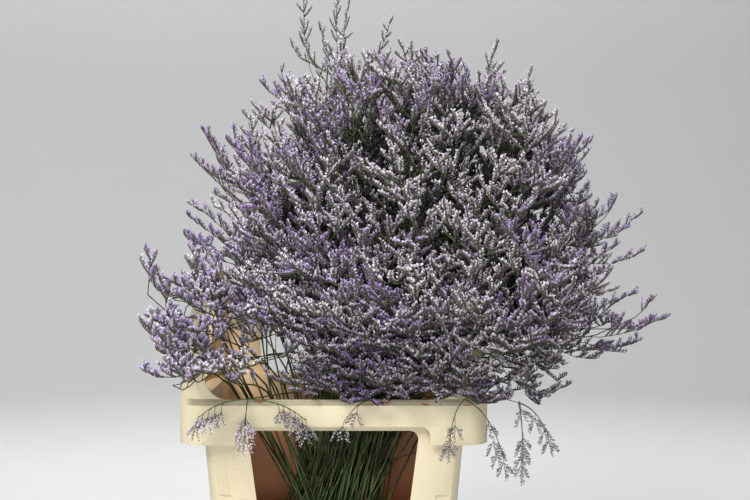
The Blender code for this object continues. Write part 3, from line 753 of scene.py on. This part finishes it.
def branch_out(bones, path, branches, longest, draw, hue, shaped=True, size=1.0):
    """Curved side branches in two rows over a path's upper part, each with its comb of flowering twigs."""
    length = path_length(path)
    for number in range(branches):
        share = 1 - (BRANCHED_LENGTH / length) * (1 - (number + draw.uniform(0.1, 0.9)) / branches * 0.85)
        run, root = along(path, min(0.95, max(0.15, share)))
        side = run.cross(UP) + jitter(draw, 0.35)
        side = side.normalized() * (1 if number % 2 else -1)
        way = (run * 0.55 + side + jitter(draw, 0.35)).normalized()
        ahead = (way * 0.4 + run * 0.5 + UP * draw.uniform(0.1, 0.9) + jitter(draw, 0.5)).normalized()
        tip = root + (way * 0.9 + ahead * 0.7).normalized() * longest * draw.uniform(0.75, 1.15)
        if shaped and crown_level(tip) > 1.0:
            tip = root.lerp(tip, 0.6)
        if tip.z < CROWN_FLOOR or not clear_of_crate((root, tip), TWIG_GAP):
            continue
        twig = arc(root, way, tip, ahead, 5)
        bones.twig(twig, *BRANCH, 0.45, size, hue)
        comb(bones, twig, 0.28, COMB_TWIGS, BRANCH_TWIG_LENGTH, draw, hue, size)


def flowering_arm(bones, path, first, twigs, branches, longest, draw, hue, shaped=True):
    """One arm of a crown spray, with its own comb from a share of its length on, and its side branches."""
    bones.twig(path, *ARM, 0.85, 1.0, hue)
    comb(bones, path, first, twigs, TWIG_LENGTH, draw, hue)
    branch_out(bones, path, branches, longest, draw, hue, shaped)


def crown_reach(way):
    """How far the crown's outline lies from the hub along a direction."""
    near, far = 0.05, 0.80
    while far - near > 0.0005:
        middle = (near + far) / 2
        near, far = (middle, far) if crown_level(HUB + way * middle) < 1 else (near, middle)
    return near


def fan_way(node):
    """The direction in which a spray's solid leaves the hub, found from the corners where its stem turns."""
    ring = [v.co for v in node.data.vertices if abs((v.co - HUB).length - FAN_RADIUS) < 0.0015]
    return (sum(ring, Vector()) / len(ring) - HUB).normalized()


def neck_path(azimuth, share):
    """A stem's lower part: points on the bucket's floor, half way, at the neck and at the knee."""
    outward = Vector((math.cos(azimuth), math.sin(azimuth), 0.0)) * share
    levels = (FOOT_HEIGHT, FLOOR_SPREAD), (NECK_HEIGHT, NECK_SPREAD), (KNEE_HEIGHT, KNEE_SPREAD)
    foot, neck, knee = (Vector((LEAN_START + LEAN * height, 0.0, height)) + outward * spread
                        for height, spread in levels)
    return [foot, foot.lerp(neck, 0.5), neck, knee]


def stem_path(way, upper):
    """A stem's path: from the bucket's floor through the neck and the fan, then on through further points."""
    foot, half_way, neck, knee = neck_path(math.atan2(way.y, way.x), math.sqrt(1 - max(-0.1, way.z)))
    fan = HUB + way * FAN_RADIUS
    return [foot, half_way, neck, neck * 0.25 + knee * 0.5 + fan * 0.25, fan] + upper


def companions(bones, trunk, draw):
    """Thinner stems that run beside a spray's main stem, with a few wispy green shoots low down."""
    for _ in range(COMPANIONS):
        path = []
        for number, point in enumerate(trunk[:COMPANION_POINTS]):
            drift = COMPANION_DRIFT * max(0.0, 1 - number / 2.5) + jitter(draw, 0.020 - 0.002 * number)
            point = point + Vector((drift.x, drift.y, 0.0))
            if number < 2:
                point = Vector((min(FOOT_ROOM.x, max(-FOOT_ROOM.x, point.x)),
                                min(FOOT_ROOM.y, max(-FOOT_ROOM.y, point.y)), point.z))
            path.append(point)
        if not clear_of_crate(path[1:], STEM_GAP):
            continue
        bones.twig(path, *COMPANION)
        for _ in range(WISPS):
            run, root = along(path, draw.uniform(0.20, 0.62))
            way = (run + jitter(draw, 0.8) + WISP_PULL).normalized()
            tip = root + (way + UP * 0.4 + jitter(draw, 0.3)).normalized() * draw.uniform(0.025, 0.070)
            if clear_of_crate((root, tip), WISP_GAP):
                bones.twig(arc(root, way, tip, (way + UP).normalized(), 4), *WISP, 0.68, WISP_BLOOM, 1.0)


def dress(name, bones, node_name, seed):
    """Runs the node tree on a spray's twigs, and puts the finished piece in the place of its solid."""
    mesh = bpy.data.meshes.new(name)
    mesh.from_pydata(bones.points, bones.edges, [])
    for trait, values in bones.traits.items():
        mesh.attributes.new(trait, "FLOAT", "POINT").data.foreach_set("value", values)
    piece = bpy.data.objects.new(name, mesh)
    bpy.context.scene.collection.objects.link(piece)
    step = piece.modifiers.new("Spray", "NODES")
    step.node_group = spray_nodes
    slot = slots[node_name]
    given = {"Floret": floret, "Pitch": FLORET_PITCH, "Floret Length": FLORET_LENGTH, "Seed": seed,
             "Stem": green, "Petal": petals[slot]}
    for socket in spray_nodes.interface.items_tree:
        if socket.name in given and socket.in_out == "INPUT":
            step[socket.identifier] = given[socket.name]
    graph = bpy.context.evaluated_depsgraph_get()
    piece.data = bpy.data.meshes.new_from_object(piece.evaluated_get(graph))
    piece.modifiers.clear()
    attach(piece, "root")
    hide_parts(node_name)


green = stem_green()
petals = {"pale_flowers": floret_paper("pale florets", PALE_SHARE),
          "lilac_flowers": floret_paper("lilac florets", LILAC_SHARE)}
slots = {part["node"]: part["material_slot"] for part in frame["record"]["subparts"]}
floret = floret_form()
spray_nodes = spray_tree()
collar_surface = BVHTree.FromPolygons([v.co for v in collar.data.vertices],
                                      [p.vertices for p in collar.data.polygons])

crown = {name: fan_way(node) for name, node in frame["nodes"].items() if name[-2:].isdigit()}


def nearest_spray(way):
    return max(crown, key=lambda name: crown[name].dot(way))


arms = {name: [] for name in crown}
for count, highest, lowest in ((ARMS, 1.0, -1.0), (SKIRT_ARMS, -0.05, -0.92)):
    for number in range(count):
        height = highest - (highest - lowest) * (number + 0.5) / count
        girth = math.sqrt(1 - height * height)
        turn = number * GOLDEN_ANGLE
        ray = Vector((girth * math.cos(turn), girth * math.sin(turn), height))
        spot = CROWN_CENTRE + ray / crown_level(CROWN_CENTRE + ray) ** (1 / CROWN_ROUNDNESS)
        east_edge = EAST_START + (spot.z - CROWN_FLOOR) * EAST_SLOPE
        by_left_arch = spot.x < CLEAR_WEST and spot.z < CLEAR_LOW
        if spot.z < CROWN_FLOOR or by_left_arch or spot.x > east_edge:
            continue
        way = (spot - HUB).normalized()
        arms[nearest_spray(way)].append((way, (spot - HUB).length))

covers = {name: [] for name in crown}
for spot in map(Vector, COVERED):
    way = (spot - COVER_STEP - HUB).normalized()
    covers[nearest_spray(way)].append(spot)

for order, (name, way) in enumerate(crown.items()):
    draw = random.Random(SEED + order)
    reach = crown_reach(way)
    bones = Bones()
    trunk = stem_path(way, [HUB + way * reach * share for share in (0.45, 0.6, 0.75)])
    bones.twig(trunk, *TRUNK)
    companions(bones, trunk, draw)
    for number, (arm_way, arm_reach) in enumerate(arms[name]):
        spread = way.angle(arm_way)
        fork = max(0.36, 0.66 - spread * 0.9) * draw.uniform(0.85, 1.05)
        start = HUB + way * reach * min(fork, 0.74)
        layer = draw.uniform(*(OUTER_LAYER if number % INNER_EVERY else INNER_LAYER))
        if (HUB + arm_way * arm_reach).z < RIM_TIPS:
            layer = max(layer, draw.uniform(*RIM_LAYER))
        tip = HUB + arm_way * arm_reach * layer
        height = min(1.0, max(0.0, (tip.z - CREST_FOOT) / CREST_RISE))
        back = -CREST_BACK * height - EAST_TRIM * max(0.0, arm_way.x - EAST_FROM)
        tip += Vector((back, 0.0, CREST_LIFT * height))
        rise = 0.35 if arm_way.z > 0.1 else 0.05
        ahead = (arm_way * 0.45 + UP * rise + jitter(draw, 0.9)).normalized()
        leave = (way * 0.6 + arm_way * 0.5 + jitter(draw, 0.25)).normalized()
        hue = draw.uniform(0.2, 1.0)
        outward = Vector((0.0, math.copysign(1.0, tip.y), 0.6))
        for bend in range(BEND_TRIES):
            first_way = (leave + outward * 0.3 * bend).normalized()
            path = arc(start, first_way, tip + outward * 0.012 * bend, ahead, 8)
            if clear_of_crate(path):
                break
        else:
            continue
        first = 1 - ARM_BLOOM / path_length(path)
        flowering_arm(bones, path, first, COMB_TWIGS + 2, BRANCHES, BRANCH_LENGTH, draw, hue)
    for spot in covers[name]:
        path = arc(HUB + way * reach * 0.45, way, spot, COVER_WAY, 10)
        if clear_of_crate(path):
            first = 1 - ARM_BLOOM / path_length(path)
            flowering_arm(bones, path, first, COMB_TWIGS + 2, BRANCHES, COVER_BRANCH, draw, 0.6, False)
    inside = STEEP_SHARES if way.z > STEEP else LESS_STEEP_SHARES if way.z > LESS_STEEP else ()
    for share in inside:
        tip = HUB + way * reach * share + jitter(draw, INNER_SPREAD)
        path = arc(HUB + way * reach * INNER_START, way, tip, (way + jitter(draw, 0.6)).normalized(), 6)
        if clear_of_crate(path):
            flowering_arm(bones, path, 0.4, COMB_TWIGS, INNER_BRANCHES, COVER_BRANCH, draw, 0.5)
    dress("statice_" + name[-2:], bones, name, SEED + order)

# The loose sprays
# Longer and more open sprays that reach past the crown at its top, its shoulders and its sides.
# Their forks are thin and slightly zigzag, and each ends in a small fan of deeper lilac florets.
WEST_LIMIT, FRONT_LIMIT = -0.214, -0.290
LOWEST_TIP = 0.415
WING_TOP = 0.525
WING_EDGE = -0.170
WING_DROP = 0.022
WING_BRANCH = 0.042
PEAK_STRETCH = 1.06
ZIGZAG = 0.0012
LOOSE_BLOOM = 0.075
LOOSE_TWIGS, LOOSE_TWIG_LENGTH = 9, 0.021
FORK_TWIGS, FORK_TWIG_LENGTH = 4, 0.020
LOOSE_TRUNK = (0.0014, 0.0007)
LOOSE_ARM = (0.0009, 0.0004)
LEANING_STEM = (0.0016, 0.0007)
FORK = (0.0007, 0.00045)
FORK_SHARES = (0.42, 0.60, 0.78, 0.90, 1.0)
# name: how many arms, how wide they spread, how near the shortest ends, how pale they are, the florets' size
LOOSE = {
    "spray_peak": (10, 0.24, 0.60, 0.45, 0.64), "spray_left_shoulder": (8, 0.17, 0.50, 0.35, 0.95),
    "spray_left_arm": (4, 0.12, 0.50, 0.30, 1.00), "spray_wing_high": (8, 0.30, 0.42, 0.40, 1.12),
    "spray_wing_low": (4, 0.30, 0.45, 0.45, 1.12), "spray_right_shoulder": (9, 0.22, 0.55, 0.40, 0.88),
    "spray_right_arm": (11, 0.20, 0.55, 0.35, 0.90), "spray_right_low": (11, 0.24, 0.50, 0.30, 0.92),
}
# how many stems lean straight to a side spray, between which places they pass the rim, and how far they reach
LEANING = {"spray_wing_high": (8, -0.135, -0.060, 0.92), "spray_wing_low": (7, -0.150, -0.070, 0.92),
           "spray_left_arm": (9, -0.100, -0.042, 0.50), "spray_right_arm": (5, 0.060, 0.150, 0.80),
           "spray_right_low": (5, 0.080, 0.155, 0.80)}


def leaning_stems(bones, way, reach, count, west, east, farthest, paleness, size, draw):
    """Stems that lean straight from the bucket's floor past the rim to a side spray, forking on their way."""
    for _ in range(count):
        rim = Vector((draw.uniform(west, east), draw.uniform(-0.100, 0.03), RIM_HEIGHT + 0.004))
        foot = Vector((draw.uniform(-0.03, 0.03) - rim.x * 0.35, draw.uniform(-0.04, 0.04), FOOT_HEIGHT))
        end = HUB + way * reach * draw.uniform(farthest * 0.6, farthest) + jitter(draw, 0.035)
        end = Vector((max(end.x, WEST_LIMIT), max(end.y, FRONT_LIMIT + 0.02), max(end.z, rim.z + 0.03)))
        end.z = min(end.z, WING_TOP - 0.025) if end.x < WING_EDGE else end.z
        onward = (end - rim).normalized()
        leave = ((rim - foot).normalized() * 0.5 + onward * 0.5).normalized()
        path = [foot] + arc(rim, leave, end, (onward + UP * 0.3).normalized(), 7)
        if not clear_of_crate(path[1:], WISP_GAP):
            continue
        bones.twig(path, *LEANING_STEM)
        for share in FORK_SHARES:
            run, root = along(path, share)
            fork = (run + jitter(draw, 0.7) + UP * 0.25).normalized()
            tip = root + (fork + UP * 0.25).normalized() * draw.uniform(0.022, 0.050)
            tip = Vector((max(tip.x, WEST_LIMIT), max(tip.y, FRONT_LIMIT), tip.z))
            twig = arc(root, fork, tip, (fork + UP * 0.4).normalized(), 4)
            if clear_of_crate(twig):
                bones.twig(twig, *FORK, 0.6, size, paleness)
                if share > 0.7:
                    hue = paleness + draw.uniform(-0.1, 0.2)
                    comb(bones, twig, 0.35, FORK_TWIGS, FORK_TWIG_LENGTH, draw, hue, size)


for order, (name, (count, spread, nearest, paleness, size)) in enumerate(LOOSE.items()):
    draw = random.Random(SEED * 3 + order)
    winged = "wing" in name
    node = frame["nodes"][name]
    way = fan_way(node)
    reach = max((v.co - HUB).length for v in node.data.vertices)
    bones = Bones()
    trunk = stem_path(way, [HUB + way * reach * share for share in (0.45, 0.6, 0.72)])
    bones.twig(trunk, *LOOSE_TRUNK)
    companions(bones, trunk, draw)
    if name in LEANING:
        leaning_stems(bones, way, reach, *LEANING[name], paleness, size, draw)
    across = way.orthogonal().normalized()
    for number in range(count):
        angle = number * GOLDEN_ANGLE + draw.uniform(-0.4, 0.4)
        off = spread * math.sqrt((number + 0.3) / count) * draw.uniform(0.8, 1.1)
        arm_way = (way + Matrix.Rotation(angle, 3, way) @ across * off).normalized()
        far = reach * (1.0 - (1 - nearest) * 0.55 * number / count) * draw.uniform(0.88, 0.97)
        far *= PEAK_STRETCH if name == "spray_peak" else 1.0
        tip = HUB + arm_way * far - UP * (WING_DROP if winged else 0.0)
        tip = Vector((max(tip.x, WEST_LIMIT), max(tip.y, FRONT_LIMIT), max(tip.z, LOWEST_TIP)))
        tip.z = min(tip.z, WING_TOP) if winged else tip.z
        start = HUB + way * reach * (0.30 + 0.42 * draw.random())
        ahead = (arm_way + UP * 0.25 + jitter(draw, 0.35)).normalized()
        path = arc(start, (way + arm_way * 0.3).normalized(), tip, ahead, 8)
        path = path[:1] + [point + jitter(draw, ZIGZAG) for point in path[1:-1]] + path[-1:]
        if not clear_of_crate(path):
            continue
        first = max(0.3, 1 - LOOSE_BLOOM / path_length(path))
        hue = paleness + draw.uniform(-0.1, 0.2)
        bones.twig(path, *LOOSE_ARM, 0.80, size, hue)
        comb(bones, path, first, LOOSE_TWIGS, LOOSE_TWIG_LENGTH, draw, hue, size)
        if winged:
            branch_out(bones, path, 1, WING_BRANCH, draw, hue, False, size)
    dress(name.replace("spray", "statice"), bones, name, SEED * 3 + order)

# The hanging sprays
# A few thin side shoots that have flopped over the front rim and hang against the band.
# Their small grey-green fans point down and outwards.
EAST_FORK, FAR_FORK = (0.166, -0.168, 0.3655), (0.232, -0.181, 0.363)
# name: the azimuth in degrees at the rim, and its shoots: where each starts and ends, and how many fans
HANGING = {
    "spray_hanging_left": (-137, ((None, (-0.165, -0.182, 0.345), 5), (None, (-0.108, -0.176, 0.330), 4),
                                  (None, (-0.034, -0.170, 0.340), 6))),
    "spray_hanging_front": (-92, ((None, (0.020, -0.172, 0.345), 2),)),
    "spray_hanging_right": (-65, ((None, EAST_FORK, 0), (EAST_FORK, (0.146, -0.184, 0.318), 3),
                                  (EAST_FORK, (0.212, -0.188, 0.300), 4), (EAST_FORK, FAR_FORK, 1),
                                  (FAR_FORK, (0.236, -0.188, 0.296), 4),
                                  (FAR_FORK, (0.268, -0.178, 0.326), 3))),
}
HANGING_SPREAD = 1.22
HANGING_STEM = (0.0016, 0.0010)
SHOOT = (0.0010, 0.0005)
STALK = (0.00050, 0.00040)
FAN_TWIG = (0.00045, 0.00030)
FAN_TWIGS = 3
FAN_BLOOM = 0.85
CLEAR_OVER_RIM = 0.0014
RIM_INSIDE, RIM_OUTSIDE = 0.028, 0.006


def hanging_fan(bones, path, share, draw):
    """A short thin stalk that bends down and ends in a small fan of flowering twigs."""
    run, root = along(path, share)
    stalk_end = root + (run * 0.5 - UP + jitter(draw, 0.35)).normalized() * draw.uniform(0.006, 0.016)
    bones.twig(arc(root, run, stalk_end, -UP, 4), *STALK)
    for number in range(FAN_TWIGS):
        lean = Vector(((number - 1.0) * 0.70, draw.uniform(-0.5, 0.1), -1.0)).normalized()
        tip = stalk_end + (lean + run * 0.4).normalized() * draw.uniform(0.014, 0.022)
        if clear_of_crate((tip,), WISP_GAP):
            bones.twig(arc(stalk_end, lean, tip, lean - UP * 0.2, 4), *FAN_TWIG, 0.1, FAN_BLOOM, FAN_BLOOM)


for order, (name, (azimuth_degrees, shoots)) in enumerate(HANGING.items()):
    draw = random.Random(SEED * 5 + order)
    azimuth = math.radians(azimuth_degrees)
    outward = Vector((math.cos(azimuth), math.sin(azimuth), 0.0))
    over = RIM_HEIGHT + BEAD + CLEAR_OVER_RIM + GAP
    edge = min((math.copysign(half, part) - origin) / part for half, part, origin in
               zip(RIM_HALF, outward, (HUB.x, 0.0)))
    base = Vector((HUB.x, 0.0, over))
    crossing = base + outward * (edge + RIM_OUTSIDE)
    bones = Bones()
    inside_rim = base + outward * (edge - RIM_INSIDE) + UP * 0.001
    bones.twig(neck_path(azimuth, HANGING_SPREAD) + [inside_rim, crossing], *HANGING_STEM)
    for begin, end, fans in shoots:
        begin, end = Vector(begin) if begin else crossing, Vector(end)
        drop = begin.z - end.z
        shoulder = begin.lerp(end, 0.4) + UP * max(drop * 0.28, 0.008)
        ahead = ((end - shoulder).normalized() - UP * 0.3 * min(1.0, drop / 0.02)).normalized()
        shoot = arc(begin, (shoulder - begin).normalized(), end, ahead, 10)
        bones.twig(shoot, *SHOOT, 0.93, 0.7, 0.6)
        for number in range(fans):
            hanging_fan(bones, shoot, 1 - number * 0.55 / max(1, fans - 1), draw)
    dress(name.replace("spray", "statice"), bones, name, SEED * 5 + order)

bpy.data.objects.remove(floret)
